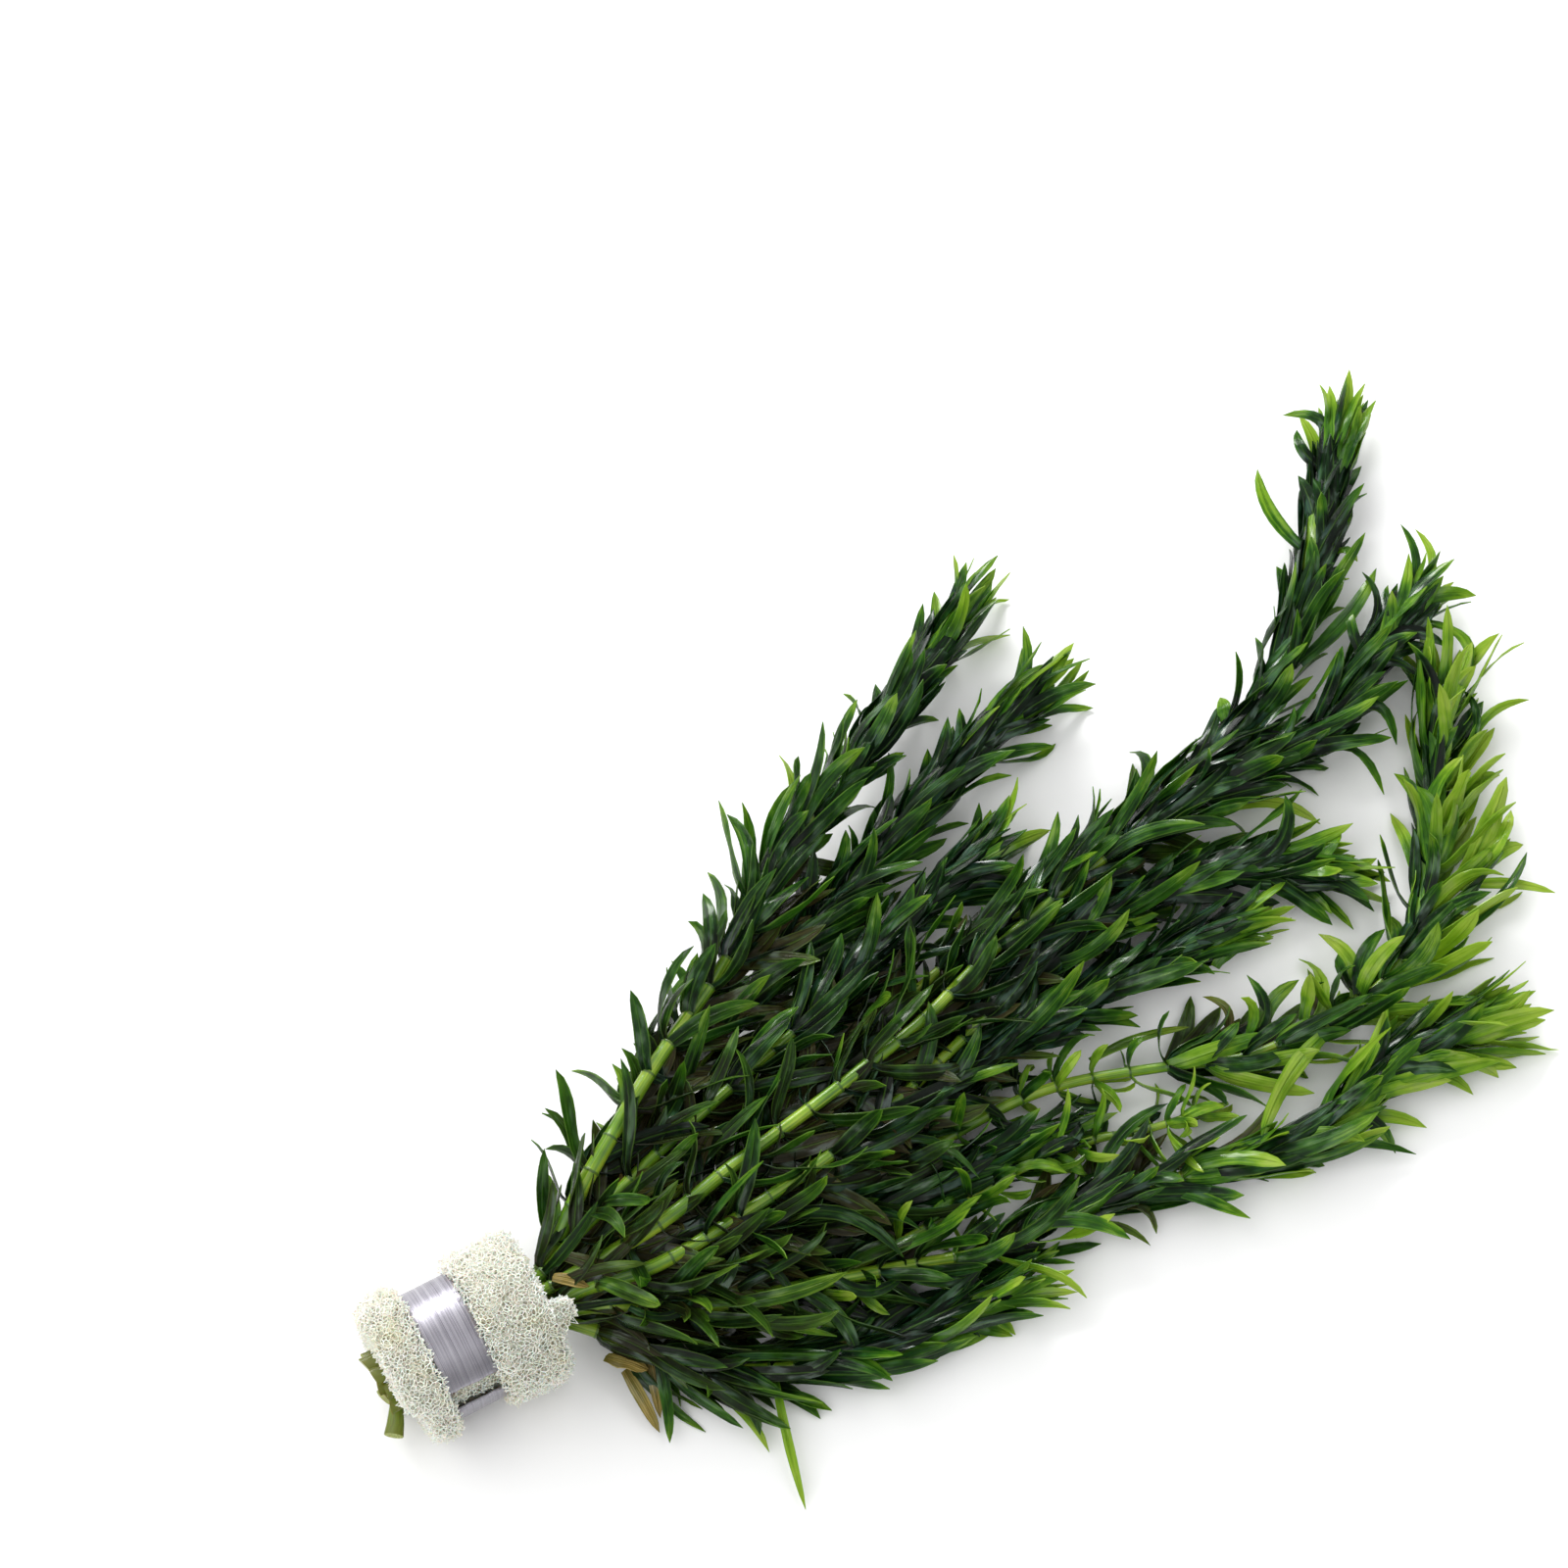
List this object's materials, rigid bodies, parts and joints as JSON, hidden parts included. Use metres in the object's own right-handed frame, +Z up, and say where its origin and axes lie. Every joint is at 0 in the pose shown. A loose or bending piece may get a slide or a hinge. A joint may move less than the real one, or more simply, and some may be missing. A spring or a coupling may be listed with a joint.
{
  "type": "brazilian waterweed bunch",
  "caption": "Bunch of leafy brazilian waterweed stems that lies fanned out, its cut ends held in a rolled sponge strip with a lead strip bent round it.",
  "frame": {"origin": "on the surface it lies on, under the middle of its box", "axes": "+X along the roll's axis from the cut ends to the leafy tips, +Y to the left of it, +Z up"},
  "size_m": [0.3046, 0.1682, 0.044],
  "materials": {
    "sponge": "cream open-cell sponge, matte, with fine dark pores",
    "lead": "soft grey lead strip, dull, with fine lines along its length",
    "waterweed": "wet green plant, from dark green leaves to yellow-green stems and young tips"
  },
  "bodies": {
    "root": {"sponge_wrap": "sponge", "lead_strip": "lead", "stem_01": "waterweed", "stem_02": "waterweed", "stem_03": "waterweed", "stem_04": "waterweed", "stem_05": "waterweed", "stem_06": "waterweed", "stem_07": "waterweed", "stem_08": "waterweed", "stem_09": "waterweed", "stem_10": "waterweed", "stem_11": "waterweed", "stem_12": "waterweed"}
  },
  "joints": []
}
